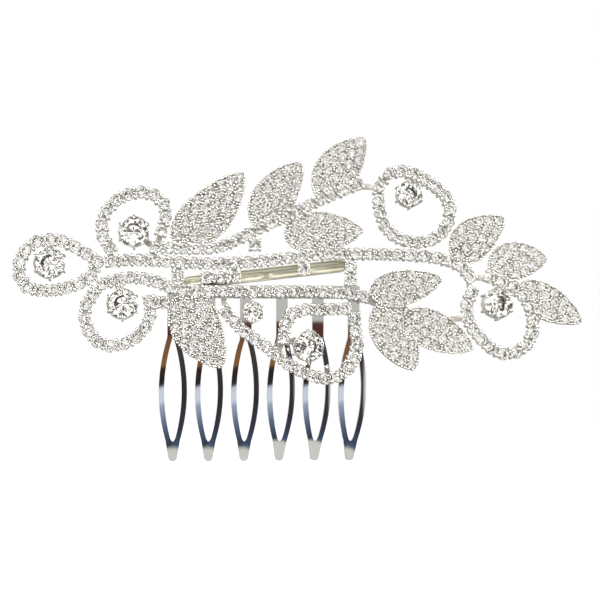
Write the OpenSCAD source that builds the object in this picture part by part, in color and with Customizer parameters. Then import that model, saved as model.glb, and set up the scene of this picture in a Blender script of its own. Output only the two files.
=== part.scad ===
// A slide-in hair comb with a spray of stone-set leaves, loops and stems soldered to its rail.
// X runs along the comb, Z goes up from its rail and the stones face -Y. The origin is on the rail's
// front face, at the middle of the edge that the teeth leave. Every setting's back lies on Y = 0.

/* [Spray] */
// Width of the spray, from the left loop to the last leaf's tip
spray_w = 115; // [100:1:140]
// Height of the spray, from the top leaf's tip to the bottom of the drop loop
spray_h = 50; // [44:1:60]
// Air between two settings that are soldered side by side
joint_gap = 0.06; // [0.05:0.01:0.2]

/* [Stones] */
// Girdle diameter of a stone in a loop or a stem
row_stone_d = 2.35; // [1.8:0.05:2.8]
// Girdle diameter of a stone in a leaf
leaf_stone_d = 1.8; // [1.4:0.05:2.2]
// Girdle diameter of a stone that fills a gap in a leaf
filler_stone_d = 1.2; // [1:0.05:1.5]
// Girdle diameter of a large stone
large_stone_d = 5.9; // [4.9:0.1:7.1]
// Girdle diameter of the large stone in the top ring
ring_stone_d = 5.2; // [4.3:0.1:6.3]
// Girdle diameter of the one middle-sized stone
middle_stone_d = 4.0; // [3.3:0.1:4.8]
// Air between a stone and its seat
seat_clearance = 0.02; // [0.01:0.01:0.05]

/* [Cups of the loops and stems] */
// Metal round a stone's girdle
cup_wall = 0.12; // [0.1:0.01:0.25]
// Metal under a stone's point
cup_floor = 0.7; // [0.55:0.05:1.2]
// Width of the link between two cups
link_w = 1.2; // [0.8:0.1:1.6]
// Thickness of the link
link_t = 0.5; // [0.3:0.05:0.5]

/* [Leaves] */
// Metal outside the stones at a leaf's edge
leaf_rim = 0.16; // [0.12:0.01:0.3]
// Room between two stones in a leaf
leaf_claw_room = 0.12; // [0.08:0.01:0.25]
// Metal under the stones of a leaf
leaf_floor = 0.7; // [0.5:0.05:1.2]
// Distance from a leaf's base to the foot that it is soldered by
leaf_foot_in = 2.4; // [1.8:0.1:3]
// Diameter of that foot
leaf_foot_d = 1.6; // [1.2:0.1:2]

/* [Collets of the large stones] */
// Metal round a large stone's girdle
collet_wall = 0.2; // [0.15:0.01:0.3]
// Metal under a large stone's point
collet_floor = 0.8; // [0.6:0.1:1.5]
// Claws on a collet
claw_count = 6; // [4:1:8]
// Diameter of a claw
claw_d = 0.5; // [0.4:0.05:0.7]
// Height of a claw above the girdle
claw_rise = 0.3; // [0.2:0.05:0.5]

/* [Comb] */
// Number of teeth
tooth_count = 6; // [4:1:9]
// Distance from one tooth to the next
tooth_pitch = 7.33; // [6:0.01:9]
// Widest width of a looped tooth
tooth_w = 5.7; // [4.6:0.1:6]
// Length of a tooth, from the rail to its tip
tooth_l = 33.3; // [27:0.1:42]
// Width of the wire-like strip on each side of a tooth's slot
strip_w = 1; // [0.8:0.05:1.2]
// Width of the neck that joins a tooth to the rail
neck_w = 2.3; // [1.8:0.1:2.6]
// Width of a tooth's rounded tip
tip_w = 1.8; // [1.4:0.1:2.2]
// Distance from the rail to the top of the slot
slot_top = 7.4; // [5:0.1:9]
// Distance from the bottom of the slot to the tooth's tip
slot_bottom = 4.2; // [3:0.1:6]
// Height of the rail
rail_h = 2.6; // [2:0.1:3.2]
// Thickness of the sheet that the comb is cut from
sheet_t = 0.9; // [0.7:0.05:1.2]
// Radius that the teeth are curved to, seen from the side
tooth_curve_r = 72; // [60:1:120]

/* [Support bar] */
// Length of the bar behind the stems
bar_l = 33.5; // [28:0.5:40]
// Width of the bar
bar_w = 2.6; // [2:0.1:3]
// Thickness of the bar
bar_t = 1; // [0.8:0.05:1.3]
// Rise of the bar from left to right, in degrees
bar_tilt = 6.7; // [4:0.1:9]
// Width of the seam in the folded bar
seam_w = 0.25; // [0.2:0.05:0.4]

/* [Solder] */
// Width of a soldered bridge on the back
bridge_w = 1.2; // [0.9:0.1:1.5]
// Thickness of a soldered bridge
bridge_t = 0.45; // [0.35:0.05:0.6]

/* [Hidden] */
$fn = 48;
OVER = 1;              // how far a cutter runs past what it cuts
SILVER = "silver";
CRYSTAL = "aliceblue";

// The layout below is drawn at this size and stretched to the spray's.
DRAWN_W = 115;
DRAWN_H = 50;
function at(p) = [p[0] * spray_w / DRAWN_W, p[1] * spray_h / DRAWN_H];

// The cut of a stone, as shares of its girdle diameter
TABLE = 0.56;          // flat top
CROWN = 0.2;           // height above the girdle
GIRDLE = 0.06;         // height of the girdle
PAVILION = 0.4;        // depth below the girdle
POINT = 0.08;          // blunt point

cup_d = row_stone_d + 2 * cup_wall;
cup_h = cup_floor + PAVILION * row_stone_d;
row_pitch = cup_d + joint_gap;
leaf_t = leaf_floor + PAVILION * leaf_stone_d;

// Large stones: name, centre and girdle diameter
LARGE = [
    ["left_loop", [-42.8, 6.6], large_stone_d],
    ["upper_loop", [-26.2, 13], large_stone_d],
    ["lower_loop", [-28.4, -1.4], large_stone_d],
    ["middle", [-2.4, -2.9], middle_stone_d],
    ["drop_loop", [8.7, -9.8], large_stone_d],
    ["top_ring", [29.4, 21.2], ring_stone_d],
    ["end_ring", [47.4, -1], large_stone_d]
];
function collet_d(one) = one[2] + 2 * collet_wall;
function claw_spots(one) = [for (i = [0 : claw_count - 1]) let (turn = 360 * (i + 0.5) / claw_count)
    ((one[2] + claw_d) / 2 + seat_clearance) * [cos(turn), sin(turn)]];
claw_circles = [for (one = LARGE, p = claw_spots(one)) [at(one[1])[0] + p[0], at(one[1])[1] + p[1], claw_d / 2]];
collet_circles = [for (one = LARGE) [at(one[1])[0], at(one[1])[1], collet_d(one) / 2]];

// Rows of cups: name, and the routes that the row follows one after the other, each given by the points
// that it goes through. A row gives way to the ones before it.
ROWS_DRAWN = [
    ["end_ring", [[[42.4, 1.3], [41.4, -1.1], [41.4, -3.6], [42.6, -6.2], [44.9, -8.8], [47.9, -11], [51, -11.1],
        [53.8, -9.3], [55.1, -6.4], [54.9, -2.9], [53.6, 0.1], [51.4, 2.3], [48.5, 3.6], [45.7, 4.6]]]],
    ["top_ring", [[[23.3, 22.8], [23.3, 19], [24.8, 14.3], [28.2, 11.9], [32.3, 11.5], [35.9, 13.1], [38, 16.7],
        [37.6, 20.2], [35.1, 22.8], [31.3, 25.2], [27.4, 26.1], [24.6, 25.1]]]],
    ["middle_stem", [[[-30.7, 7.2], [-25.2, 7.5], [-13, 6.9], [-6.9, 7], [0.2, 7.5], [12.4, 8.9], [27.6, 8.9],
        [34.7, 8.4], [39.2, 7.2], [41, 6], [42.4, 4]]]],
    ["lower_stem", [[[-32.3, 2.7], [-27.6, 3.9], [-23.1, 3.6], [-19.1, 2.1], [-14, 1.4], [-3.9, 1.3],
        [12.4, 1.3], [17.9, 0.8], [21.5, -0.1]]]],
    ["upper_stem", [[[-22.2, 10], [-16.6, 9.9], [-10.6, 10], [-6.9, 11.1], [-3, 13.1], [5.3, 17], [11.4, 20],
        [20.7, 23.9]]]],
    ["left_loop", [[[-32.5, 6.4], [-36.5, 9.2], [-41.4, 11.4], [-46.3, 10.7], [-49, 6.4], [-47.7, 2.1],
        [-43, 1.2], [-38.2, 2.2], [-35.7, 3.6], [-33.7, 5]]]],
    ["upper_loop", [[[-30.7, 9.4], [-32.5, 12.3], [-32.3, 16.3], [-29.6, 19.6], [-25.2, 21.2], [-21.1, 20],
        [-19.9, 17.2], [-20.5, 14.1], [-21.7, 11.7]]]],
    ["lower_loop", [[[-33.3, 1.9], [-35.7, -1.7], [-35.4, -6.2], [-32.1, -9.6], [-27, -8.9], [-23.3, -5.2],
        [-22.9, -1.7], [-23.9, 1.5]]]],
    ["drop_loop", [[[-7.7, -2.9], [-4.1, -6.8], [0.6, -10], [5.3, -13.7], [10.2, -15.9], [13, -16.2],
        [15.6, -15.5], [17.3, -13.9], [18.9, -10.5], [18.5, -6.4], [18.2, -1.9]]]],
    ["inner_curl", [[[16.4, -2.1], [11.4, -2.3], [6.9, -2.5], [4.7, -4.2], [4, -6.6], [3.8, -9.4]]]],
    ["link_cups", [[[-2.7, 10.9], [-0.2, 10.2]], [[7.9, 7.4], [7.9, 2.1]], [[17.5, 7.4], [17.5, 1.7]],
        [[-11.6, 4], [-5.2, 4.2]], [[-17.4, 5.2], [-17.4, 3.9]], [[-27.4, 11.6], [-24.4, 10.4]],
        [[-28.4, 6.1], [-28.4, 4.4]], [[-20.4, -1], [-19.4, 0.4]], [[-9.4, -1.6], [-8.6, -0.6]]]]
];
ROUTE_STEPS = 40;      // places tried between two points of a route
LINK_REACH = 1.3;      // cups further apart than this many pitches aren't linked

function spline(a, b, c, d, t) =
    0.5 * (2 * b + (c - a) * t + (2 * a - 5 * b + 4 * c - d) * t * t + (3 * b - a - 3 * c + d) * t * t * t);
function route(pts) = let (last = len(pts) - 1) concat(
    [for (i = [0 : last - 1], k = [0 : ROUTE_STEPS - 1])
        spline(pts[max(i - 1, 0)], pts[i], pts[i + 1], pts[min(i + 2, last)], k / ROUTE_STEPS)],
    [pts[last]]);

function circles(cups) = [for (c = cups) [c[0], c[1], cup_d / 2]];
function gap_between(p, r, circle) = norm(p - [circle[0], circle[1]]) - r - circle[2];
function clear_of(p, r, taken) = min([for (c = taken) gap_between(p, r, c)]) >= joint_gap;
function walk(line, taken, i, cups) =
    i == len(line) ? cups :
    let (started = len(cups) > 0)
    let (fits = (!started || norm(line[i] - cups[len(cups) - 1]) >= row_pitch)
        && clear_of(line[i], cup_d / 2, concat(taken, circles(cups))))
    walk(line, taken, i + 1, fits ? concat(cups, [line[i]]) : cups);
function lay_rows(k, taken, rows) =
    k == len(ROWS_DRAWN) ? rows :
    let (line = [for (pts = ROWS_DRAWN[k][1]) each route([for (p = pts) at(p)])])
    let (cups = walk(line, taken, 0, []))
    lay_rows(k + 1, concat(taken, circles(cups)), concat(rows, [cups]));

ROWS = lay_rows(0, concat(collet_circles, claw_circles), []);
row_circles = [for (row = ROWS) circles(row)];
all_cups = [for (row = row_circles, c = row) c];
all_circles = concat(collet_circles, all_cups);

// Neighbours in a row are linked, and so are its two ends where they meet
function linked(a, b) = norm(b - a) <= LINK_REACH * row_pitch;
function row_links(k) = let (cups = ROWS[k], n = len(cups))
    [for (i = [0 : n - 1]) if (n > 2 || i < n - 1) if (linked(cups[i], cups[(i + 1) % n]))
        [cups[i], cups[(i + 1) % n]]];

// Leaves: name, base, tip, width, how far the middle bows to the left of the line from base to tip, and
// the angle that the tip is raised by. A leaf gives way to the ones before it and to every cup.
LEAVES = [
    ["leaf_a", [-18, 11.2], [-4.3, 25.1], 9.4, -0.8, 4],
    ["leaf_b", [-1.6, 14.5], [7.3, 27.5], 8.6, 0.4, 5],
    ["leaf_c", [11.4, 20], [20.3, 32.8], 8.8, 0.7, 3],
    ["leaf_d", [4.1, 13.1], [19.9, 13.7], 8.3, 0, 4],
    ["leaf_e", [38.8, 8.4], [48.9, 16.7], 8.2, 0.5, 5],
    ["leaf_f", [46.1, 6.4], [57.9, 8.4], 7.8, 0.6, 3],
    ["leaf_g", [52, 2.5], [65, -4.6], 7.1, 0, 4],
    ["leaf_h", [21.7, 1.1], [36.1, 4], 7.1, -0.2, 5],
    ["leaf_i", [28.4, -3.6], [42.4, -10.2], 7.7, 0, 3],
    ["leaf_j", [24.4, -0.1], [30.2, -14.5], 9.3, -0.7, 4],
    ["leaf_k", [-16.4, 1.4], [-8.7, -14], 10, -0.9, 3]
];
OUTLINE_STEPS = 22;    // points on each side of a leaf's outline
SEAT_STEP = 0.12;      // distance between the places tried for a stone
FULL_AT = 0.75;        // below 1, a leaf is widest nearer its base
BLUNT = 0.62;          // below 1, a leaf's ends are blunter
LINK_CLEAR = 0.85;     // share of a cup's width that a leaf leaves free between two linked cups
BEYOND = 4;            // how far past a row a leaf is cut away
RIM_LEAST = 0.7;       // share of the rim that is left between a stone and a corner of the outline
SIDE_KEEP = 0.1;       // metal kept between a leaf's stone and the next setting

function base(leaf) = at(leaf[1]);
function leaf_l(leaf) = norm(at(leaf[2]) - at(leaf[1]));
function along(leaf) = (at(leaf[2]) - at(leaf[1])) / leaf_l(leaf);
function across(leaf) = [-along(leaf)[1], along(leaf)[0]];
function leaf_point(leaf, u, v) = base(leaf) + u * along(leaf) + v * across(leaf);
function share(leaf, u) = min(max(u / leaf_l(leaf), 0), 1);
function half_w(leaf, u) = leaf[3] / 2 * pow(sin(180 * pow(share(leaf, u), FULL_AT)), BLUNT);
function bow(leaf, u) = leaf[4] * sin(180 * share(leaf, u));
function edge_v(leaf, u, side) = bow(leaf, u) + side * half_w(leaf, u);
function outline_u(leaf) = [for (i = [0 : OUTLINE_STEPS])
    leaf_l(leaf) * (1 - cos(180 * i / OUTLINE_STEPS)) / 2];
function leaf_edge(leaf) = let (us = outline_u(leaf)) concat(
    [for (i = [0 : OUTLINE_STEPS]) [us[i], edge_v(leaf, us[i], 1)]],
    [for (i = [OUTLINE_STEPS - 1 : -1 : 1]) [us[i], edge_v(leaf, us[i], -1)]]);

// Places for a stone of diameter d, from the tip to the base, and on each line from the edges inwards
function tries(leaf, d) =
    [for (u = [leaf_l(leaf) - d / 2 : -SEAT_STEP : d / 2])
        for (inset = [d / 2 : SEAT_STEP : half_w(leaf, u)], side = [1, -1])
            [u, edge_v(leaf, u, side) - side * inset]];
function in_leaf(leaf, p, grow) =
    let (v = p - base(leaf), u = v * along(leaf))
    u > -grow && u < leaf_l(leaf) + grow && abs(v * across(leaf) - bow(leaf, u)) < half_w(leaf, u) + grow;
function seat_free(i, uv, d, near, seats, edge) =
    let (p = leaf_point(LEAVES[i], uv[0], uv[1]), keep = joint_gap + SIDE_KEEP)
    (len(seats) == 0 || min([for (q = seats) norm(uv - [q[0], q[1]]) - (q[2] + d) / 2]) >= leaf_claw_room)
    && min([for (q = edge) norm(uv - q)]) >= d / 2 + RIM_LEAST * leaf_rim
    && (len(near) == 0 || min([for (c = near) gap_between(p, d / 2, c)]) >= keep)
    && len([for (j = [0 : 1 : i - 1]) if (in_leaf(LEAVES[j], p, d / 2 + keep)) 1]) == 0;
// Adds to the seats in first all the stones of diameter d that there is room for
function add_seats(i, d, near, edge, first) = let (places = tries(LEAVES[i], d), n = len(places))
    [for (k = 0, seats = first; k <= n;
        seats = k < n && seat_free(i, places[k], d, near, seats, edge) ?
            concat(seats, [[places[k][0], places[k][1], d]]) : seats,
        k = k + 1) if (k == n) seats][0];
function near_circles(leaf) = let (middle = leaf_point(leaf, leaf_l(leaf) / 2, 0))
    [for (c = concat(all_circles, claw_circles))
        if (gap_between(middle, leaf_l(leaf) / 2, c) < joint_gap + OVER) c];
function near_links(leaf) = let (middle = leaf_point(leaf, leaf_l(leaf) / 2, 0))
    [for (k = [0 : len(ROWS) - 1], l = row_links(k))
        if (norm((l[0] + l[1]) / 2 - middle) < leaf_l(leaf) / 2 + OVER) l];
// The stones of a leaf, each with its place and diameter: first the full-sized ones, then the fillers
function leaf_seats(i) = let (leaf = LEAVES[i], near = near_circles(leaf), edge = leaf_edge(leaf))
    add_seats(i, filler_stone_d, near, edge, add_seats(i, leaf_stone_d, near, edge, []));

// The rail stands behind the lower stem, and the bar lies behind the stems above the rail.
RAIL_PROUD = 0.05;     // how far the rail stands out from the teeth on each side
TOOTH_STEPS = 32;      // points on each side of a tooth's outline and of its slot's
SLOT_END = 0.15;       // half the width of a slot's ends
TIP_STEP = 15;         // degrees between the points of a rounded tip
BLOB = 1.3;            // width of a bridge's ends, per width of the bridge
rail_w = (tooth_count - 1) * tooth_pitch + neck_w + 2 * RAIL_PROUD;
rail_t = sheet_t + 2 * RAIL_PROUD;
BAR_MIDDLE = [0.2, 4.9];
function bar_spot(side) = at(BAR_MIDDLE) + side * (bar_l / 2 - bar_w) * [cos(bar_tilt), sin(bar_tilt)];

function nearest(p, taken) = let (gaps = [for (c = taken) norm(p - [c[0], c[1]])], best = min(gaps))
    [for (i = [0 : len(gaps) - 1]) if (gaps[i] == best) [taken[i][0], taken[i][1]]][0];
function others(k) = concat(collet_circles,
    [for (j = [0 : len(ROWS) - 1]) if (j != k) for (c = row_circles[j]) c]);
// Cups of a row that lack a neighbour on one side
function loose_ends(k) = let (cups = ROWS[k], n = len(cups))
    [for (i = [0 : n - 1])
        if (n < 3 || !linked(cups[i], cups[(i + 1) % n]) || !linked(cups[i], cups[(i + n - 1) % n])) cups[i]];
function bridges() = concat(
    [for (k = [0 : len(ROWS) - 1], p = loose_ends(k)) [p, nearest(p, others(k))]],
    [for (one = LARGE) [at(one[1]), nearest(at(one[1]), all_cups)]],
    [for (leaf = LEAVES) let (p = leaf_point(leaf, leaf_foot_in, 0)) [p, nearest(p, all_circles)]],
    [for (side = [-1, 1]) [bar_spot(side), nearest(bar_spot(side), all_cups)]]);

// Drawn flat with X across and Y up, and stood up so that the drawing's Z faces the front
module to_front() rotate([90, 0, 0]) children();

module stone(d) {
    rotate_extrude() polygon([
        [0, -PAVILION * d],
        [POINT * d / 2, -PAVILION * d],
        [d / 2, 0],
        [d / 2, GIRDLE * d],
        [TABLE * d / 2, (GIRDLE + CROWN) * d],
        [0, (GIRDLE + CROWN) * d]
    ]);
}

module seated_cup(d, wall, floor_t) {
    rim = floor_t + PAVILION * d;
    rotate_extrude() polygon([
        [0, 0],
        [d / 2 + wall, 0],
        [d / 2 + wall, rim],
        [d / 2, rim],
        [POINT * d / 2, floor_t],
        [0, floor_t]
    ]);
}

module strip(a, b, w, t) {
    turn = atan2(b[1] - a[1], b[0] - a[0]);
    translate(a) rotate(turn) translate([0, -w / 2, 0]) cube([norm(b - a), w, t]);
}

// All that lies on the line from a to b, or within reach on the side of it that is away from middle
module beyond(a, b, middle, h) {
    left = cross(b - a, middle - a) < 0;
    low = left ? -cup_d * LINK_CLEAR / 2 : -BEYOND;
    high = left ? BEYOND : cup_d * LINK_CLEAR / 2;
    translate(a) rotate(atan2(b[1] - a[1], b[0] - a[0])) translate([0, low, 0]) cube([norm(b - a), high - low, h]);
}

module row_setting(k) {
    color(SILVER) to_front() {
        for (c = ROWS[k]) translate(c) seated_cup(row_stone_d, cup_wall, cup_floor);
        for (l = row_links(k)) strip(l[0], l[1], link_w, link_t);
    }
}

module row_stones(k) {
    color(CRYSTAL) to_front() for (c = ROWS[k]) {
        translate([c[0], c[1], cup_h + seat_clearance]) stone(row_stone_d);
    }
}

// Moves a leaf's drawing, base at the origin and tip along X, to its place with its tip raised
module place_leaf(leaf) {
    translate(base(leaf)) rotate(atan2(along(leaf)[1], along(leaf)[0])) rotate([0, -leaf[5], 0]) children();
}

module leaf_setting(i) {
    leaf = LEAVES[i];
    foot_h = leaf_foot_in * tan(leaf[5]) + leaf_floor / 2;
    color(SILVER) to_front() difference() {
        union() {
            place_leaf(leaf) difference() {
                linear_extrude(leaf_t) polygon(leaf_edge(leaf));
                for (s = leaf_seats(i)) translate([s[0], s[1], leaf_t - PAVILION * s[2]]) {
                    cylinder(h = PAVILION * s[2], d1 = POINT * s[2], d2 = s[2]);
                }
            }
            translate(leaf_point(leaf, leaf_foot_in, 0)) cylinder(h = foot_h, d = leaf_foot_d);
        }
        for (c = near_circles(leaf)) {
            translate([c[0], c[1], -OVER]) cylinder(h = leaf_t + leaf_l(leaf), r = c[2] + joint_gap);
        }
        for (l = near_links(leaf)) translate([0, 0, -OVER]) {
            beyond(l[0], l[1], leaf_point(leaf, leaf_l(leaf) / 2, 0), leaf_t + leaf_l(leaf));
        }
        for (j = [0 : 1 : i - 1]) if (norm(base(LEAVES[j]) - base(leaf)) < leaf_l(leaf) + leaf_l(LEAVES[j])) {
            leaf_clearance(LEAVES[j]);
        }
    }
}

// The space of a leaf and the joint round it, which a later leaf leaves free. Raising a leaf's tip leans its
// sides back towards its base, so the space is larger by that.
module leaf_clearance(leaf) {
    margin = joint_gap + leaf_t * sin(leaf[5]);
    ahead = margin * (leaf[2] - leaf[1]) / norm(leaf[2] - leaf[1]);
    grown = [leaf[0], leaf[1] - ahead, leaf[2] + ahead, leaf[3] + 2 * margin, leaf[4], 0];
    translate([0, 0, -OVER]) place_leaf(grown) linear_extrude(leaf_t + leaf_l(leaf)) polygon(leaf_edge(grown));
}

module leaf_stones(i) {
    leaf = LEAVES[i];
    color(CRYSTAL) to_front() place_leaf(leaf) for (s = leaf_seats(i)) {
        translate([s[0], s[1], leaf_t + seat_clearance]) stone(s[2]);
    }
}

module collet(one) {
    d = one[2];
    claw_from = collet_floor;
    claw_to = collet_floor + (PAVILION + GIRDLE) * d + claw_rise;
    color(SILVER) to_front() translate(at(one[1])) {
        seated_cup(d, collet_wall, collet_floor);
        for (p = claw_spots(one)) translate(p) {
            translate([0, 0, claw_from]) cylinder(h = claw_to - claw_from, d = claw_d);
            translate([0, 0, claw_to]) sphere(d = claw_d);
        }
    }
}

module large_stones() {
    color(CRYSTAL) to_front() for (one = LARGE) {
        lift = collet_floor + PAVILION * one[2] + seat_clearance;
        translate([at(one[1])[0], at(one[1])[1], lift]) stone(one[2]);
    }
}

// Half the width at z of a shape that swells from a point at each end to half_w at its middle
function swell(z, middle, half_l, half_w) = half_w * max(0, 1 - pow((z - middle) / half_l, 2));

function mirrored(pts) = concat(pts, [for (i = [len(pts) - 1 : -1 : 0]) [-pts[i][0], pts[i][1]]]);

module tooth_outline() {
    tip_r = tip_w / 2;
    tip_z = tip_r - tooth_l;
    slot_l = tooth_l - slot_top - slot_bottom;
    slot_z = -slot_top - slot_l / 2;
    body_z = -tooth_l / 2 - neck_w;
    body_l = tooth_l / 2 - neck_w;
    side = [for (i = [0 : TOOTH_STEPS]) let (z = OVER + (tip_z - OVER) * i / TOOTH_STEPS)
        [max(z > body_z ? neck_w / 2 : tip_r, swell(z, body_z, body_l, tooth_w / 2)), z]];
    tip = [for (a = [TIP_STEP : TIP_STEP : 90 - TIP_STEP]) [tip_r * cos(a), tip_z - tip_r * sin(a)]];
    slot = [for (i = [0 : TOOTH_STEPS]) let (z = slot_z + slot_l * (0.5 - i / TOOTH_STEPS))
        [max(SLOT_END, swell(z, slot_z, slot_l / 2, tooth_w / 2 - strip_w)), z]];
    difference() {
        polygon(mirrored(concat(side, tip)));
        polygon(mirrored(slot));
    }
}

module comb() {
    color("gainsboro") {
        translate([-rail_w / 2, 0, 0]) cube([rail_w, rail_t, rail_h]);
        intersection() {
            to_front() translate([0, 0, -tooth_l]) linear_extrude(2 * tooth_l) {
                for (i = [0 : tooth_count - 1]) translate([(i - (tooth_count - 1) / 2) * tooth_pitch, 0]) {
                    tooth_outline();
                }
            }
            translate([-rail_w, rail_t / 2 + tooth_curve_r, 0]) rotate([0, 90, 0]) difference() {
                cylinder(h = 2 * rail_w, r = tooth_curve_r + sheet_t / 2, $fn = 180);
                translate([0, 0, -OVER]) {
                    cylinder(h = 2 * rail_w + 2 * OVER, r = tooth_curve_r - sheet_t / 2, $fn = 180);
                }
            }
        }
    }
}

module support_bar() {
    middle = at(BAR_MIDDLE);
    color("palegoldenrod") difference() {
        translate([middle[0], 0, middle[1]]) rotate([0, -bar_tilt, 0]) difference() {
            rotate([-90, 0, 0]) linear_extrude(bar_t) {
                square([bar_l - bar_w, bar_w], center = true);
                for (side = [-1, 1]) translate([side * (bar_l - bar_w) / 2, 0]) circle(d = bar_w);
            }
            translate([-bar_l, -OVER, -bar_w / 8]) cube([2 * bar_l, OVER + bar_t / 3, seam_w]);
        }
        translate([-bar_l, -OVER, -OVER]) cube([2 * bar_l, bar_t + 2 * OVER, OVER + rail_h + joint_gap]);
    }
}

module solder_bridges() {
    middle = at(BAR_MIDDLE);
    color("lightgray") difference() {
        rotate([90, 0, 0]) translate([0, 0, -bridge_t]) for (b = bridges()) {
            strip(b[0], b[1], bridge_w, bridge_t);
            for (p = b) translate(p) cylinder(h = bridge_t, d = BLOB * bridge_w);
        }
        translate([-rail_w / 2 - joint_gap, -OVER, -joint_gap]) {
            cube([rail_w + 2 * joint_gap, rail_t + 2 * OVER, rail_h + 2 * joint_gap]);
        }
        for (i = [0 : tooth_count - 1]) {
            translate([(i - (tooth_count - 1) / 2) * tooth_pitch - neck_w / 2 - joint_gap, -OVER, -slot_top]) {
                cube([neck_w + 2 * joint_gap, sheet_t + 2 * OVER, slot_top + OVER]);
            }
        }
        translate([middle[0], -OVER, middle[1]]) rotate([0, -bar_tilt, 0]) {
            translate([-bar_l / 2 - joint_gap, 0, -bar_w / 2 - joint_gap]) {
                cube([bar_l + 2 * joint_gap, bar_t + 2 * OVER, bar_w + 2 * joint_gap]);
            }
        }
    }
}

comb();
support_bar();
solder_bridges();
large_stones();
for (k = [0 : len(ROWS) - 1]) {
    row_setting(k);
    row_stones(k);
}
for (i = [0 : len(LEAVES) - 1]) {
    leaf_setting(i);
    leaf_stones(i);
}
for (one = LARGE) collet(one);
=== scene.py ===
# %% [markdown]
# # A slide-in hair comb with a spray of rhinestones
# The comb is cut from sheet, polished and plated. In front of its rail sits a spray of cast
# settings that are soldered together: leaves paved with small stones, rings, loops and stems of single
# cups, and a few large stones in collets. The solid model comes first and stays as it is. Each part of
# it is then covered by a finer piece in the same place.

# %% Load the frame
import math
import random

import bmesh
import bpy
import numpy as np
from mathutils import Matrix, Vector
from mathutils.bvhtree import BVHTree


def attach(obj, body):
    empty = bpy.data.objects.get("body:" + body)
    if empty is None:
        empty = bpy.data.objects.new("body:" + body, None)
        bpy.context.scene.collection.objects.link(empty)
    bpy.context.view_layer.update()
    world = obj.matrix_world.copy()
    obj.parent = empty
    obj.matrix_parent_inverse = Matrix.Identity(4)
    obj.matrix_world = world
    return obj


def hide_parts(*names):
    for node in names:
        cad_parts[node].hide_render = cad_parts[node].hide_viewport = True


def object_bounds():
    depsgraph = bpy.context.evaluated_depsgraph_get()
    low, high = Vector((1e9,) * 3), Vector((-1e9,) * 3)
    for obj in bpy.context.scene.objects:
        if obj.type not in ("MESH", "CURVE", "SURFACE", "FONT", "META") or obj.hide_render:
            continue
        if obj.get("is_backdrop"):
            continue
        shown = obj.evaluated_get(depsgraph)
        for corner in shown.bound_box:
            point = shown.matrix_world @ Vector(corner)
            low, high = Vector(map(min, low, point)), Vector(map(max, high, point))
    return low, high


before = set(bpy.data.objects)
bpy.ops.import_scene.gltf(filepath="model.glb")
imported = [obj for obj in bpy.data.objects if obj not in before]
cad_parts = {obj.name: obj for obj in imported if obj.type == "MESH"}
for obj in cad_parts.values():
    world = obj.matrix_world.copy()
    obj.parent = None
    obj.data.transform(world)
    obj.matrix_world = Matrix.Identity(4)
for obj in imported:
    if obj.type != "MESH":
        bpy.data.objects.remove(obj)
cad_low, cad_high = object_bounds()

MM = 0.001
print(len(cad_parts), "solids in a box of", [round(s / MM, 1) for s in cad_high - cad_low], "mm")

# %% [markdown]
# ## Helpers for colours and nodes
# Colours are written as the hex values that a paint chart gives, and Blender wants linear light, so one
# function turns the one into the other. Another adds a node with its settings and its links.

# %% Colours and nodes
def linear(hex_value):
    """An sRGB hex colour as linear red, green, blue and an alpha of one."""
    parts = [int(hex_value[i:i + 2], 16) / 255 for i in (1, 3, 5)]
    return tuple(p / 12.92 if p <= 0.04045 else ((p + 0.055) / 1.055) ** 2.4 for p in parts) + (1.0,)


def add(tree, kind, settings=(), links=(), **inputs):
    """Adds a node. settings are its properties, inputs its sockets' values, links {socket: output}."""
    node = tree.nodes.new(kind)
    for key, value in dict(settings).items():
        setattr(node, key, value)
    for key, value in inputs.items():
        node.inputs[key.replace("_", " ")].default_value = value
    for key, output in dict(links).items():
        tree.links.new(output, node.inputs[key])
    return node


print("white is", linear("#ffffff"))

# %% [markdown]
# ## Helpers for meshes and finished pieces
# An object is made from points and faces. A turned or bent shape is a loft, a skin through rings of
# points. Faces have to point outwards, modifiers are turned into plain mesh, and a finished piece hides
# the solids it stands for.

# %% Meshes and pieces
def mesh_object(name, points, faces, edges=(), smooth=False):
    mesh = bpy.data.meshes.new(name)
    mesh.from_pydata([tuple(p) for p in points], list(edges), list(faces))
    mesh.update()
    if smooth:
        mesh.shade_smooth()
    made = bpy.data.objects.new(name, mesh)
    bpy.context.scene.collection.objects.link(made)
    return made


def outward(made):
    """Turns a closed mesh's faces outwards."""
    bm = bmesh.new()
    bm.from_mesh(made.data)
    bmesh.ops.recalc_face_normals(bm, faces=bm.faces)
    bm.to_mesh(made.data)
    bm.free()
    return made


def lofted(name, rings, smooth=True):
    """A closed mesh through rings of points, with a flat cap on the first and the last."""
    n = len(rings[0])
    faces = [list(range(n)), [(len(rings) - 1) * n + i for i in range(n)]]
    for k in range(len(rings) - 1):
        for i in range(n):
            j = (i + 1) % n
            faces.append([k * n + i, k * n + j, (k + 1) * n + j, (k + 1) * n + i])
    return outward(mesh_object(name, [p for r in rings for p in r], faces, smooth=smooth))


def evaluated(name, made):
    """The object as a plain mesh once its modifiers are applied."""
    result = made.evaluated_get(bpy.context.evaluated_depsgraph_get())
    mesh = bpy.data.meshes.new_from_object(result)
    mesh.name = name
    finished = bpy.data.objects.new(name, mesh)
    bpy.context.scene.collection.objects.link(finished)
    bpy.data.objects.remove(made)
    return finished


def keep(piece, slot, *nodes):
    """A finished piece: it rides on the one body, and the solids it stands for are hidden."""
    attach(piece, "root")
    if nodes:
        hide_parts(*nodes)
    return piece


# %% [markdown]
# ## Where the stones sit
# Every stone in the solid model is a turned solid with a flat table. Each one is found again from its
# triangles: those that touch belong together, the ones that face most to the front are the table, and
# the table's normal is the stone's axis. So nothing about the layout is typed in twice.

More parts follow.
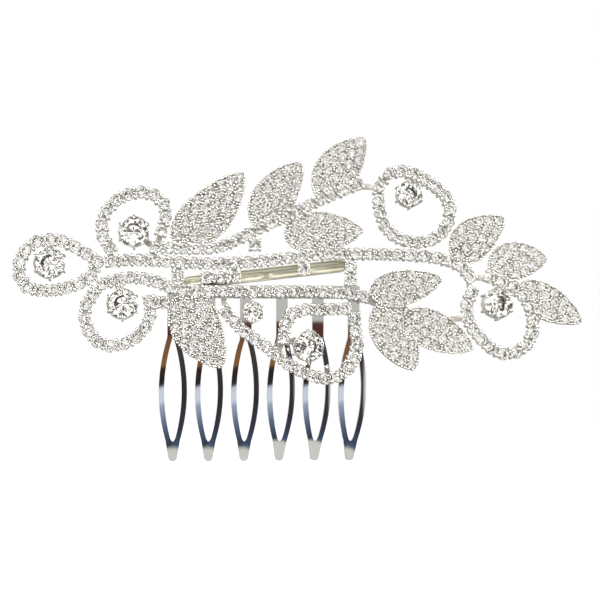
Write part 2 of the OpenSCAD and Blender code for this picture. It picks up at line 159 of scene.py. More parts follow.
# %% Find the stones
CROWN = 0.2        # height of the crown, in girdle diameters
GIRDLE = 0.06
PAVILION = 0.4
FRONT = Vector((0, -1, 0))
SAME_POINT = 0.001 * MM    # corners closer than this are one
SAME_LEAN = 1e-4           # faces whose normals differ by less belong to one table


def stones_in(node):
    """[(middle of the girdle's lower edge, axis, girdle diameter)] of a node's stones, in metres."""
    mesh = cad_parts[node].data
    co = np.empty(len(mesh.vertices) * 3)
    mesh.vertices.foreach_get("co", co)
    co = co.reshape(-1, 3)
    _, same = np.unique(np.round(co / SAME_POINT).astype(np.int64), axis=0, return_inverse=True)
    same = same.ravel()
    root = list(range(same.max() + 1))

    def find(i):
        while root[i] != i:
            root[i] = root[root[i]]
            i = root[i]
        return i

    for face in mesh.polygons:
        ids = [same[v] for v in face.vertices]
        for other in ids[1:]:
            root[find(other)] = find(ids[0])
    groups = {}
    for face in mesh.polygons:
        groups.setdefault(find(same[face.vertices[0]]), []).append(face)
    found = []
    for faces in groups.values():
        best = max(f.normal.dot(FRONT) for f in faces)
        table = [f for f in faces if f.normal.dot(FRONT) > best - SAME_LEAN]
        axis = sum((f.normal * f.area for f in table), Vector()).normalized()
        top = sum((f.center * f.area for f in table), Vector()) / sum(f.area for f in table)
        points = [Vector(co[v]) - top for f in faces for v in f.vertices]
        radius = max((p - axis * p.dot(axis)).length for p in points)
        size = 2 * radius
        found.append((top - axis * (CROWN + GIRDLE) * size, axis, size))
    found.sort(key=lambda s: (round(s[0].x, 6), round(s[0].z, 6)))
    return found


STONES = {n: stones_in(n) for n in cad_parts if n.endswith("_stones")}
for node, stones in STONES.items():
    print(f"{node}: {len(stones)} stones of {stones[0][2] / MM:.2f} mm")

# %% [markdown]
# ## The settings' metal: cast zinc alloy with bright rhodium-toned plating
# Cast settings are tumbled, dipped bright and plated. The metal is pale and slightly warm, and it
# keeps a faint orange-peel of a few tenths of a millimetre from the casting, with duller patches where
# the dip was uneven. The pattern is three-dimensional and read from the object's own coordinates.

# %% Plated metals
PATCH = 12                    # an uneven patch is this many grains wide
PATCHY_FROM, PATCHY_TO = 0.3, 0.75    # values of the broad noise where the plating is best and dullest


def plated(name, colour, shade, roughness, grain_mm, depth_mm, dull=0.12):
    """A plated metal whose roughness and height vary with a grain of that size."""
    made = bpy.data.materials.new(name)
    made.use_nodes = True
    tree = made.node_tree
    tree.nodes.clear()
    place = add(tree, "ShaderNodeTexCoord")
    fine = add(tree, "ShaderNodeTexNoise", links={"Vector": place.outputs["Object"]},
               Scale=1 / (grain_mm * MM), Detail=3.0, Roughness=0.55)
    broad = add(tree, "ShaderNodeTexNoise", links={"Vector": place.outputs["Object"]},
                Scale=1 / (PATCH * grain_mm * MM), Detail=2.0)
    tone = add(tree, "ShaderNodeMix", {"data_type": "RGBA"}, {"Factor": broad.outputs["Fac"]})
    tone.inputs["A"].default_value = linear(colour)
    tone.inputs["B"].default_value = linear(shade)
    rough = add(tree, "ShaderNodeMapRange", links={"Value": broad.outputs["Fac"]})
    rough.inputs["From Min"].default_value = PATCHY_FROM
    rough.inputs["From Max"].default_value = PATCHY_TO
    rough.inputs["To Min"].default_value = roughness
    rough.inputs["To Max"].default_value = roughness + dull
    bump = add(tree, "ShaderNodeBump", links={"Height": fine.outputs["Fac"]}, Strength=0.5)
    bump.inputs["Distance"].default_value = depth_mm * MM
    shader = add(tree, "ShaderNodeBsdfPrincipled", links={
        "Base Color": tone.outputs["Result"], "Roughness": rough.outputs["Result"],
        "Normal": bump.outputs["Normal"]}, Metallic=1.0)
    add(tree, "ShaderNodeOutputMaterial", links={"Surface": shader.outputs["BSDF"]})
    return made


# Tumbled and dipped bright, so every bead and lip gives a small sharp glint
cast_plate = plated("bright_plated_casting", "#f6f5f1", "#e2e0da", 0.10, 0.25, 0.02)
# No brush reaches the plate between the stones, so it is dull; its darker grey is painted shade for the
# gaps there
painted_shade_plate = plated("unpolished_plate_painted_shade", "#a8a59e", "#7f7b74", 0.30, 0.25, 0.04)
# Rolled sheet that is buffed before it is plated, so it is almost a clean mirror
comb_plate = plated("polished_nickel_plate", "#e8e8ec", "#dcdce2", 0.035, 0.6, 0.004, 0.03)
# Thin nickel over brass that was only dipped, so it is soft and yellowish
bar_plate = plated("thin_warm_nickel_plate", "#fbfae8", "#f3f1da", 0.34, 0.3, 0.01)
# Tin under the same plating, never polished, so it is satin
solder_plate = plated("plated_tin_solder", "#f2f1ec", "#dedcd5", 0.30, 0.35, 0.04, 0.2)
print("metals:", [m.name for m in (cast_plate, painted_shade_plate, comb_plate, bar_plate, solder_plate)])

# %% [markdown]
# ## The stones' material: faceted lead-free crystal with a foiled back
# A chaton is clear glass. Its back is silvered, so light that goes in at the crown is thrown about
# between the back facets and comes out again in pieces. Real refraction gives that sparkle by itself:
# the crown is glass, and the pavilion is the mirror of the foil seen from inside.

# %% Crystal and foil
RUB_MM, WORN = 0.8, 0.04      # size of the rubbed patches and how rough the worst of them is
CLOUD_MM = 1.5                # size of the silvering's uneven patches
crystal = bpy.data.materials.new("clear_cut_crystal")
crystal.use_nodes = True
tree = crystal.node_tree
tree.nodes.clear()
place = add(tree, "ShaderNodeTexCoord")
polish = add(tree, "ShaderNodeTexNoise", links={"Vector": place.outputs["Object"]},
             Scale=1 / (RUB_MM * MM))
rub = add(tree, "ShaderNodeMapRange", links={"Value": polish.outputs["Fac"]})
rub.inputs["To Min"].default_value = 0.0
rub.inputs["To Max"].default_value = WORN
glass = add(tree, "ShaderNodeBsdfPrincipled", links={"Roughness": rub.outputs["Result"]}, IOR=1.56)
glass.inputs["Base Color"].default_value = linear("#fbfbfd")
glass.inputs["Transmission Weight"].default_value = 1.0
add(tree, "ShaderNodeOutputMaterial", links={"Surface": glass.outputs["BSDF"]})

foil = bpy.data.materials.new("silver_foil_backing")
foil.use_nodes = True
tree = foil.node_tree
tree.nodes.clear()
place = add(tree, "ShaderNodeTexCoord")
cloud = add(tree, "ShaderNodeTexNoise", links={"Vector": place.outputs["Object"]},
            Scale=1 / (CLOUD_MM * MM))
tint = add(tree, "ShaderNodeMix", {"data_type": "RGBA"}, {"Factor": cloud.outputs["Fac"]})
tint.inputs["A"].default_value = linear("#fbfaf5")
tint.inputs["B"].default_value = linear("#f8f8fb")
mirror = add(tree, "ShaderNodeBsdfPrincipled", links={"Base Color": tint.outputs["Result"]},
             Metallic=1.0, Roughness=0.02)
add(tree, "ShaderNodeOutputMaterial", links={"Surface": mirror.outputs["BSDF"]})
print("materials:", [m.name for m in bpy.data.materials])

# %% [markdown]
# ## The cut stones
# The small stones have an eight-sided table, eight wide crown facets with pairs of small ones between
# them, and eight back facets. Large stones have one more row of facets in the crown. Each is drawn once,
# one unit across, with its axis along Z and the girdle's lower edge at zero. Which faces are foiled is
# kept as an attribute, so that it survives when the stone is copied.

# %% Cut the stones
TABLE = 0.56
SIDES = 8
BACK_RING = (0.3, -0.165)             # radius and height where the long and the short back facets meet
STAR_RING = (0.375, 0.62)             # radius of the star facets' tips, and their height in the crown
PARTS = bpy.data.collections.new("parts_to_set")   # what the nodes copy, in the order of names


def ring(count, radius, height, turn=0.0):
    return [(radius * math.cos(2 * math.pi * (i + turn) / count),
             radius * math.sin(2 * math.pi * (i + turn) / count), height) for i in range(count)]


def to_parts(made):
    """Puts an object among the parts and out of the scene."""
    for home in list(made.users_collection):
        home.objects.unlink(made)
    PARTS.objects.link(made)
    print(made.name, "has", len(made.data.polygons), "faces")


def cut_stone(name, star):
    """A stone one unit across. With star it has the extra row of facets that a large stone has."""
    n = SIDES
    points = ring(n, TABLE / 2, GIRDLE + CROWN) + ring(2 * n, 0.5, GIRDLE) + ring(2 * n, 0.5, 0)
    points += ring(n, *BACK_RING, 0.5) + [(0, 0, -PAVILION)]
    table = list(range(n))
    top = [n + i for i in range(2 * n)]
    low = [3 * n + i for i in range(2 * n)]
    back = [5 * n + i for i in range(n)]
    point = 6 * n
    faces = [table]
    if star:
        points += ring(n, STAR_RING[0], GIRDLE + CROWN * STAR_RING[1], 0.5)
        tips = [6 * n + 1 + i for i in range(n)]
        for i in range(n):
            j = (i + 1) % n
            faces += [[table[i], tips[i], table[j]],
                      [table[i], tips[i - 1], top[2 * i], tips[i]],
                      [tips[i], top[2 * i], top[2 * i + 1]],
                      [tips[i], top[2 * i + 1], top[2 * j]]]
    else:
        for i in range(n):
            j = (i + 1) % n
            faces += [[table[i], top[2 * i + 1], table[j]],
                      [table[i], top[2 * i], top[2 * i + 1]],
                      [table[i], top[2 * i - 1], top[2 * i]]]
    faces += [[top[i], low[i], low[(i + 1) % (2 * n)], top[(i + 1) % (2 * n)]] for i in range(2 * n)]
    foiled_from = len(faces)
    for i in range(n):
        j = (i + 1) % n
        faces += [[low[2 * i], back[i], low[2 * i + 1]],
                  [low[2 * i + 1], back[i], low[2 * j]],
                  [low[2 * i], back[i - 1], point, back[i]]]
    made = mesh_object(name, points, faces)
    marks = made.data.attributes.new("foiled", "BOOLEAN", "FACE")
    marks.data.foreach_set("value", [i >= foiled_from for i in range(len(faces))])
    to_parts(outward(made))


cut_stone("a_small_stone", star=False)
cut_stone("b_large_stone", star=True)

# %% [markdown]
# ## The parts of a setting
# A cup is a thin turned seat whose lip is burnished over the girdle. A bead is a short claw with its top
# rounded off, which is pushed against the stones beside it. A hook is a long claw that is bent over the
# crown of a large stone. A link is the web between two cups. All are one unit across.

# %% Cups, beads, hooks and links
CUP_SIDES = 14
BEAD_SIDES = 8
BACK = 0.695       # depth of a cup behind the girdle's lower edge
CUP = [(0.02, -BACK), (0.46, -BACK), (0.51, -0.62), (0.55, -0.05), (0.55, 0.04), (0.53, 0.085),
       (0.497, 0.075), (0.503, 0.0), (0.05, -0.56)]
BEAD = [(0.5, -1.6), (0.5, -0.1), (0.46, 0.14), (0.34, 0.33), (0.12, 0.45)]
HOOK = [(0.0, -0.45), (0.0, 0.03), (-0.008, 0.085), (-0.045, 0.13), (-0.095, 0.165), (-0.13, 0.185)]
HOOK_R = 0.042
HOOK_END = 0.55    # how far a hook narrows at its filed end

to_parts(lofted("c_cup", [ring(CUP_SIDES, r, z) for r, z in CUP]))
to_parts(lofted("d_bead", [ring(BEAD_SIDES, r, z) for r, z in BEAD]))

rings = []
for k, (x, z) in enumerate(HOOK):
    here = Vector((x, 0, z))
    ahead = Vector(HOOK[min(k + 1, len(HOOK) - 1)]) - Vector(HOOK[max(k - 1, 0)])
    turned = Vector((ahead.x, 0, ahead.y)).to_track_quat("Z", "Y")
    radius = HOOK_R * (HOOK_END if k == len(HOOK) - 1 else 1.0)
    rings.append([here + turned @ Vector(p) for p in ring(BEAD_SIDES, radius, 0)])
to_parts(lofted("e_hook", rings))

LINK = [(-0.5, -0.3), (-0.5, 0.3), (-0.38, 0.5), (0.38, 0.5), (0.5, 0.3), (0.5, -0.3), (0.38, -0.5),
        (-0.38, -0.5)]
to_parts(lofted("f_link", [[(x, y, z) for y, z in LINK] for x in (-0.5, 0.5)], smooth=False))
SMALL, LARGE, CUP_PART, BEAD_PART, HOOK_PART, LINK_PART = range(6)

# %% [markdown]
# ## The setting nodes
# A tree of geometry nodes puts a part on each point: the point says which one, how it is turned and how
# large it is. No setter gets a stone in dead level, so the stones are also tipped by a few degrees,
# from a fixed seed. The materials go on by the facets' mark.

# %% Setting nodes
SPIN = 40.0        # a stone may turn in its seat this many times further than it tips
setting = bpy.data.node_groups.new("set_parts", "GeometryNodeTree")
for name, kind in (("Geometry", "Geometry"), ("Parts", "Collection"), ("Tip", "Float"), ("Seed", "Int"),
                   ("Surface", "Material"), ("Foil", "Material")):
    setting.interface.new_socket(name, in_out="INPUT", socket_type="NodeSocket" + kind)
setting.interface.new_socket("Geometry", in_out="OUTPUT", socket_type="NodeSocketGeometry")
given = add(setting, "NodeGroupInput").outputs
named = "GeometryNodeInputNamedAttribute"
part = add(setting, named, {"data_type": "INT"}, Name="part")
turn = add(setting, named, {"data_type": "FLOAT_VECTOR"}, Name="turn")
size = add(setting, named, {"data_type": "FLOAT_VECTOR"}, Name="size")
foiled = add(setting, named, {"data_type": "BOOLEAN"}, Name="foiled")
source = add(setting, "GeometryNodeCollectionInfo", {}, {"Collection": given["Parts"]},
             Separate_Children=True, Reset_Children=True)
less = add(setting, "ShaderNodeMath", {"operation": "MULTIPLY"}, {0: given["Tip"]})
less.inputs[1].default_value = -1.0
spin = add(setting, "ShaderNodeMath", {"operation": "MULTIPLY"}, {0: given["Tip"]})
spin.inputs[1].default_value = SPIN
back_spin = add(setting, "ShaderNodeMath", {"operation": "MULTIPLY"}, {0: spin.outputs[0]})
back_spin.inputs[1].default_value = -1.0
low = add(setting, "ShaderNodeCombineXYZ", {}, {
    "X": less.outputs[0], "Y": less.outputs[0], "Z": back_spin.outputs[0]})
high = add(setting, "ShaderNodeCombineXYZ", {}, {
    "X": given["Tip"], "Y": given["Tip"], "Z": spin.outputs[0]})
tip = add(setting, "FunctionNodeRandomValue", {"data_type": "FLOAT_VECTOR"},
          {0: low.outputs[0], 1: high.outputs[0], "Seed": given["Seed"]})
on_points = add(setting, "GeometryNodeInstanceOnPoints", {}, {
    "Points": given["Geometry"], "Instance": source.outputs["Instances"],
    "Instance Index": part.outputs["Attribute"], "Rotation": turn.outputs["Attribute"],
    "Scale": size.outputs["Attribute"]}, Pick_Instance=True)
tipped = add(setting, "GeometryNodeRotateInstances", {}, {
    "Instances": on_points.outputs["Instances"], "Rotation": tip.outputs["Value"]})
real = add(setting, "GeometryNodeRealizeInstances", {}, {"Geometry": tipped.outputs["Instances"]})
surfaced = add(setting, "GeometryNodeSetMaterial", {}, {
    "Geometry": real.outputs["Geometry"], "Material": given["Surface"]})
backed = add(setting, "GeometryNodeSetMaterial", {}, {
    "Geometry": surfaced.outputs["Geometry"], "Material": given["Foil"],
    "Selection": foiled.outputs["Attribute"]})
add(setting, "NodeGroupOutput", {}, {"Geometry": backed.outputs["Geometry"]})
print("setting nodes:", len(setting.nodes))

# %% [markdown]
# ## Using the tree
# The points of a plain mesh carry what the tree asks for as named attributes. The modifier's inputs are
# set by the socket's own identifier, then the result is turned into a plain mesh.

# %% Set the parts
def set_parts(name, spots, surface, tip=0.0, seed=0):
    """One mesh of all the parts. spots are (part, place, axis, direction of the part's X, size)."""
    base = mesh_object(name + "_places", [s[1] for s in spots], [])
    turns, sizes = [], []
    for _, _, axis, across, size in spots:
        z = axis.normalized()
        x = (across - z * across.dot(z)).normalized()
        turns += Matrix((x, z.cross(x), z)).transposed().to_euler()
        sizes += size if isinstance(size, tuple) else (size, size, size)
    base.data.attributes.new("part", "INT", "POINT").data.foreach_set("value", [s[0] for s in spots])
    base.data.attributes.new("turn", "FLOAT_VECTOR", "POINT").data.foreach_set("vector", turns)
    base.data.attributes.new("size", "FLOAT_VECTOR", "POINT").data.foreach_set("vector", sizes)
    modifier = base.modifiers.new(name, "NODES")
    modifier.node_group = setting
    values = {"Parts": PARTS, "Tip": tip, "Seed": seed, "Surface": surface, "Foil": foil}
    for item in setting.interface.items_tree:
        if item.item_type == "SOCKET" and item.in_out == "INPUT" and item.name in values:
            modifier[item.identifier] = values[item.name]
    return evaluated(name, base)


# %% [markdown]
# ## Every stone in its seat
# A small stone is dropped into its seat by hand and is rarely level. A large one is lined up with more
# care. One piece is made for each group of stones in the solid model.

# %% Set every stone
RIGHT = Vector((1, 0, 0))
TIP_SMALL, TIP_LARGE = 5.0, 2.0      # how far a stone may be out of level, in degrees
for seed, (node, stones) in enumerate(sorted(STONES.items())):
    large = node == "large_stones"
    spots = [(LARGE if large else SMALL, place, axis, RIGHT, size) for place, axis, size in stones]
    piece = set_parts(node.replace("_stones", "_cut_stones"), spots, crystal,
                      math.radians(TIP_LARGE if large else TIP_SMALL), seed)
    keep(piece, "crystal", node)
print("stones set:", sum(len(s) for s in STONES.values()))

# %% [markdown]
# ## Rows of cups
# Cups that stand next to each other in a row are linked by a web at the back. Two beads sit in the
# notches between them and hold both stones. A cup at the end of a row has beads on its free side too.

# %% Cast the rows
ROW_D = 2.35 * MM
LINK_W, LINK_T = 1.2 * MM, 0.5 * MM
LINK_LEVEL = 0.96               # a link's thickness against the space left for it
PITCH_ROW = 2.65 * MM
LINKED = 1.3 * PITCH_ROW        # cups further apart than this aren't linked
NOTCH = 0.36                    # how far out a notch's beads stand, in stone diameters
BEAD_D = 0.36                   # width of a bead, in stone diameters
BEAD_UP = 0.1                   # height of a bead's middle above the girdle's lower edge
BEAD_OUT = 0.53                 # how far out a bead on a free side stands
BEAD_SHAPE = (0.9, 1.15)        # width along the row and across it
BEAD_VARIES = (0.9, 1.12)

chance = random.Random(11)
for node in [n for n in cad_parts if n.endswith("_setting") and not n.startswith("leaf")]:
    stones = STONES[node.replace("_setting", "_stones")]
    spots = [(CUP_PART, place, axis, RIGHT, size) for place, axis, size in stones]
    beads = []
    free = {k: [] for k in range(len(stones))}
    for i, (p, axis, size) in enumerate(stones):
        for k in range(i + 1, len(stones)):
            q = stones[k][0]
            if (q - p).length < LINKED:
                middle = (p + q) / 2
                along = (q - p).normalized()
                beads += [(middle + side * axis.cross(along) * NOTCH * size, axis, along)
                          for side in (-1, 1)]
                behind = middle - axis * (BACK * size - LINK_T / 2)
                spots.append((LINK_PART, behind, axis, along,
                              ((q - p).length, LINK_W, LINK_T * LINK_LEVEL)))
                free[i].append(along)
                free[k].append(-along)
    for i, (p, axis, size) in enumerate(stones):
        if len(free[i]) == 1:
            turns = [(-free[i][0], -45), (-free[i][0], 45)]
        elif not free[i]:
            turns = [(RIGHT, 45 + 90 * k) for k in range(4)]
        else:
            turns = []
        for start, angle in turns:
            out = Matrix.Rotation(math.radians(angle), 3, axis) @ start
            beads.append((p + out * size * BEAD_OUT, axis, axis.cross(out)))
    for place, axis, along in beads:
        wide = BEAD_D * ROW_D * chance.uniform(*BEAD_VARIES)
        spots.append((BEAD_PART, place + axis * BEAD_UP * ROW_D, axis, along,
                      (wide * BEAD_SHAPE[0], wide * BEAD_SHAPE[1], wide)))
    keep(set_parts(node + "_cast", spots, cast_plate), "setting_plate", node)
    print(f"{node}: {len(stones)} cups, {len(beads)} beads")

# %% [markdown]
# ## Leaves
# A leaf is a cast plate with stones close together. The caster leaves a grain of metal in every gap,
# and the setter pushes it over the stones round it. The widest gaps get the largest grains. The gaps are
# found on the plate itself: a place counts when the plate's flat front is there.

# %% Grain the leaves
GRAIN_STEP = 0.13 * MM
GRAIN_BITE = 0.09 * MM          # how far a grain reaches over the stones beside it
GRAIN_R = (0.14 * MM, 0.28 * MM)
GRAIN_APART = 0.5 * MM
GRAIN_HUG = 0.75                # share of two grains' radii that has to fit between them
GRAIN_UP = 0.06 * MM            # lift of a tiny grain; the widest is lifted twice as far
GRAIN_TALL = 1.7                # height of a grain, in radii
LEAST_ROOM = 0.02 * MM          # a gap narrower than this gets no grain
LOOK_FROM, LOOK_TO = 1.0 * MM, 1.2 * MM    # the plate is looked for from here to there
FLAT = 0.99                     # cosine of the lean that still counts as the plate's front
LEAVES = [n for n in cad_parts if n.startswith("leaf") and n.endswith("_setting")]
for node in LEAVES:
    stones = STONES[node.replace("_setting", "_stones")]
    axis = stones[0][1]
    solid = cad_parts[node]
    tree = BVHTree.FromPolygons([v.co.copy() for v in solid.data.vertices],
                                [list(f.vertices) for f in solid.data.polygons])
    across = (RIGHT - axis * RIGHT.dot(axis)).normalized()
    up = axis.cross(across)
    flat = [(p.dot(across), p.dot(up), s / 2) for p, _, s in stones]
    level = stones[0][0].dot(axis)
    centres = np.array([(u, v) for u, v, _ in flat])
    radii = np.array([r for _, _, r in flat])
    low, high = centres.min(0) - 2 * MM, centres.max(0) + 2 * MM
    tried = []
    for u in np.arange(low[0], high[0], GRAIN_STEP):
        for v in np.arange(low[1], high[1], GRAIN_STEP):
            room = (np.hypot(centres[:, 0] - u, centres[:, 1] - v) - radii).min()
            if room < LEAST_ROOM:
                continue
            place = across * u + up * v + axis * (level + LOOK_FROM)
            hit, normal, _, _ = tree.ray_cast(place, -axis)
            if hit and abs(normal.dot(axis)) > FLAT and (hit - place).length < LOOK_TO:
                tried.append((room, u, v, hit))
    tried.sort(key=lambda t: -t[0])
    taken = []
    for room, u, v, hit in tried:
        radius = min(max(room + GRAIN_BITE, GRAIN_R[0]), GRAIN_R[1])
        if all(math.hypot(u - a, v - b) > max(radius * GRAIN_HUG + r * GRAIN_HUG, GRAIN_APART)
               for a, b, r, _ in taken):
            taken.append((u, v, radius, hit))
    spots = [(BEAD_PART, hit + axis * GRAIN_UP * (1 + r / GRAIN_R[1]), axis, RIGHT,
              (2 * r, 2 * r, GRAIN_TALL * r)) for _, _, r, hit in taken]
    keep(set_parts(node.replace("_setting", "_grains"), spots, cast_plate), "setting_plate")
    print(f"{node}: {len(taken)} grains")

# %% [markdown]
# ## Collets
# Each large stone sits in a deeper cup with long claws that are bent over its crown.

# %% Make the collets
HOOKS = 6
HOOK_OUT = 0.548       # how far out a claw stands, in stone diameters
COLLET_D = 0.98        # width of the cup in a collet against a plain cup
for node in [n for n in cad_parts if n.endswith("_collet")]:
    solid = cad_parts[node]
    middle = sum((v.co for v in solid.data.vertices), Vector()) / len(solid.data.vertices)
    place, axis, size = min(STONES["large_stones"], key=lambda s: (s[0] - middle).length)
    depth = max((place - v.co).dot(axis) for v in solid.data.vertices) / BACK
    spots = [(CUP_PART, place, axis, RIGHT, (COLLET_D * size, COLLET_D * size, depth))]
    for i in range(HOOKS):
        out = Matrix.Rotation(2 * math.pi * (i + 0.5) / HOOKS, 3, axis) @ RIGHT
        spots.append((HOOK_PART, place + out * size * HOOK_OUT, axis, out, size))
    keep(set_parts(node + "_clawed", spots, cast_plate), "setting_plate", node)
    print(f"{node}: stone of {size / MM:.2f} mm, {HOOKS} claws")

# %% [markdown]
# ## The comb
# Looped teeth are cut from nickel-silver sheet, rolled to a curve, and pressed so that each tooth is a
# little crowned across. Tumbling has rounded all the edges. The fourth and fifth teeth were bent a
# little further at their tips.

# %% Draw a tooth
# Millimetres and whole widths
TEETH, PITCH = 6, 7.33
TOOTH_W, TOOTH_L, STRIP_W, NECK_W, TIP_W = 5.7, 33.3, 1.08, 2.3, 1.8
CLOSED_W = 2.9         # width of a tooth where its slot ends
SLOT_ROUND = 0.8       # height of the rounding at the slot's lower end
SLOT_TOP, SLOT_BOTTOM, SLOT_END = 7.4, 4.2, 0.15
RAIL_H, SHEET_T, CURVE_R, PROUD = 2.6, 0.9, 72.0, 0.05
CROWNED = 0.038        # how much a tooth's sides fall back, per mm squared
BENT = {3: 0.0022, 4: 0.0022}      # how far the bent teeth lean back, per mm squared
BEND_FROM = -22.0
ACROSS = 4             # divisions across a strip
TOP, STEP, STEPS = 0.8, 0.6, 56    # rows of points from there, so far apart, at most so many
HIDDEN_TOP = 1.0       # a tooth starts inside the rail
ROUND_ROWS = (0, 0.06, 0.25, 0.6)  # rows in the slot's rounding, as shares of its height
TIP_ANGLES = (0, 15, 30, 45, 60, 72)
EDGE = 1e-6


def swell(z, middle, half_l, half_w):
    return half_w * max(0.0, 1 - ((z - middle) / half_l) ** 2)


def tooth(number):
    """Points in millimetres and faces of one tooth."""
    centre = (number - (TEETH - 1) / 2) * PITCH
    tip_r = TIP_W / 2
    tip_z = tip_r - TOOTH_L
    closed_z = SLOT_BOTTOM - TOOTH_L
    levels = {HIDDEN_TOP, -SLOT_TOP} | {closed_z + SLOT_ROUND * k for k in ROUND_ROWS}
    levels |= {TOP - STEP * i for i in range(STEPS) if TOP - STEP * i > tip_z}
    levels = sorted(levels, reverse=True)
    rows = []
    for z in levels:
        body = swell(z, -TOOTH_L / 2 - NECK_W, TOOTH_L / 2 - NECK_W, TOOTH_W / 2)
        taper = tip_r + (CLOSED_W / 2 - tip_r) * min(1.0, (z - tip_z) / (closed_z - tip_z))
        wide = max(NECK_W / 2 if z > -TOOTH_L / 2 else taper, body)
        above = min(1.0, max(0.0, (z - closed_z) / SLOT_ROUND))
        slot = max(SLOT_END, (wide - STRIP_W) * math.sqrt(1 - (1 - above) ** 2))
        rows.append((z, wide, slot))
    for angle in TIP_ANGLES:
        down, out = math.sin(math.radians(angle)), math.cos(math.radians(angle))
        rows.append((tip_z - tip_r * down, tip_r * out, SLOT_END))
    width = 2 * (ACROSS + 1)
    points, faces = [], []
    for z, wide, slot in rows:
        lean = math.asin(z / CURVE_R)
        sheet_y = SHEET_T / 2 + PROUD + CURVE_R * (1 - math.cos(lean))
        sheet_y += BENT.get(number, 0) * max(0.0, BEND_FROM - z) ** 2
        xs = [-wide + (wide - slot) * j / ACROSS for j in range(ACROSS + 1)]
        xs += [-x for x in reversed(xs)]
        for side in (-1, 1):
            points += [(centre + x, sheet_y + CROWNED * x * x + side * SHEET_T / 2 / math.cos(lean), z)
                       for x in xs]

    def at(row, side, column):
        return (2 * row + side) * width + column

    def slotted(row):
        return -SLOT_TOP + EDGE > rows[row][0] > closed_z + EDGE

    for i in range(len(rows) - 1):
        is_open = slotted(i)
        for side in (0, 1):
            faces += [[at(i, side, j), at(i, side, j + 1), at(i + 1, side, j + 1), at(i + 1, side, j)]
                      for j in range(width - 1) if j != ACROSS or not is_open]
        for j in (0, width - 1) + ((ACROSS, ACROSS + 1) if is_open else ()):
            faces.append([at(i, 0, j), at(i, 1, j), at(i + 1, 1, j), at(i + 1, 0, j)])
        if is_open != slotted(i - 1):
            faces.append([at(i, 0, ACROSS), at(i, 0, ACROSS + 1), at(i, 1, ACROSS + 1), at(i, 1, ACROSS)])
    for i in (0, len(rows) - 1):
        faces += [[at(i, 0, j), at(i, 0, j + 1), at(i, 1, j + 1), at(i, 1, j)] for j in range(width - 1)]
    return points, faces


# %% [markdown]
# ## Rail and tumbled edges
# The six teeth and the rail are put in one mesh, as they are one sheet of metal. A bevel on every sharp
# edge is the tumbling: it gives the thin bright line that a real edge has.

# %% Press the comb
EDGE_R = 0.13 * MM
SHARP = 38             # an edge that turns by more than this many degrees is rounded
points, faces = [], []
for number in range(TEETH):
    more, polygons = tooth(number)
    faces += [[len(points) + v for v in f] for f in polygons]
    points += more
rail_x = (TEETH - 1) * PITCH / 2 + NECK_W / 2 + PROUD
rail = [(x, y, z) for x in (-rail_x, rail_x) for y in (0, SHEET_T + 2 * PROUD) for z in (0, RAIL_H)]
faces += [[len(points) + v for v in f] for f in
          ((0, 1, 3, 2), (4, 6, 7, 5), (0, 4, 5, 1), (2, 3, 7, 6), (0, 2, 6, 4), (1, 5, 7, 3))]
points += rail
comb = outward(mesh_object("comb_base", [Vector(p) * MM for p in points], faces, smooth=True))
tumbled = comb.modifiers.new("tumbled_edges", "BEVEL")
tumbled.width = EDGE_R
tumbled.segments = 2
tumbled.limit_method = "ANGLE"
tumbled.angle_limit = math.radians(SHARP)
tumbled.harden_normals = True
comb.data.materials.append(comb_plate)
comb = keep(evaluated("pressed_comb", comb), "comb_plate", "comb")
print("comb faces:", len(comb.data.polygons))

# %% [markdown]
# ## The support bar
# A strip of thin warm nickel sheet is folded flat over itself, which leaves a rounded edge above and
# below and a seam along the front. The seam has closed up in places.

# %% Fold the bar
BAR_L, BAR_W, BAR_T, BAR_TILT = 33.5 * MM, 2.6 * MM, 1.0 * MM, math.radians(6.7)
SEAM = [(-0.5, -0.36), (-0.30, -0.02), (0.05, 0.2), (0.29, 0.5)]   # where it is open, along the bar
SEAM_OPEN, SEAM_SHUT = 0.42, 0.16                                  # depth of the seam, in thicknesses
# The section: (share of half the width, share of the thickness), with the seam's floor left out
BELOW = [(-1, 0.5), (-0.94, 0.12), (-0.82, 0.02), (-0.12, 0.20)]
ABOVE = [(0.14, 0.02), (0.75, 0.20), (0.94, 0.32), (1, 0.5), (0.9, 0.82), (0.6, 0.98), (-0.6, 0.98),
         (-0.9, 0.82)]
SEAM_FLOOR = (-0.04, 0.06)
SECTIONS = 61
END_SQUARED = 0.03     # keeps the ends from coming to a point
bar_x = Vector((math.cos(BAR_TILT), 0, math.sin(BAR_TILT)))
bar_z = Vector((-math.sin(BAR_TILT), 0, math.cos(BAR_TILT)))
bar_at = Vector((0.2, 0, 4.9)) * MM
rings = []
for k in range(SECTIONS):
    s = k / (SECTIONS - 1) - 0.5
    from_end = (0.5 - abs(s)) * BAR_L
    narrow = min(1.0, math.sqrt(max(END_SQUARED, 1 - max(0.0, 1 - from_end / (BAR_W / 2)) ** 2)))
    groove = SEAM_OPEN if any(a < s < b for a, b in SEAM) else SEAM_SHUT
    half = BAR_W / 2 * narrow
    shape = BELOW + [(v, groove) for v in SEAM_FLOOR] + ABOVE
    rings.append([bar_at + bar_x * s * BAR_L + bar_z * half * v + Vector((0, y * BAR_T, 0))
                  for v, y in shape])
bar = lofted("folded_bar", rings)
low_edge = (RAIL_H + 0.06) * MM        # it rests a joint's width above the rail
for v in bar.data.vertices:
    v.co.z = max(v.co.z, low_edge)
bar.data.materials.append(bar_plate)
keep(bar, "bar_plate", "support_bar")
print("bar faces:", len(bar.data.polygons))

# %% [markdown]
# ## Solder
# Soft solder is fed in from behind. It draws itself round and leaves a slightly lumpy bridge.

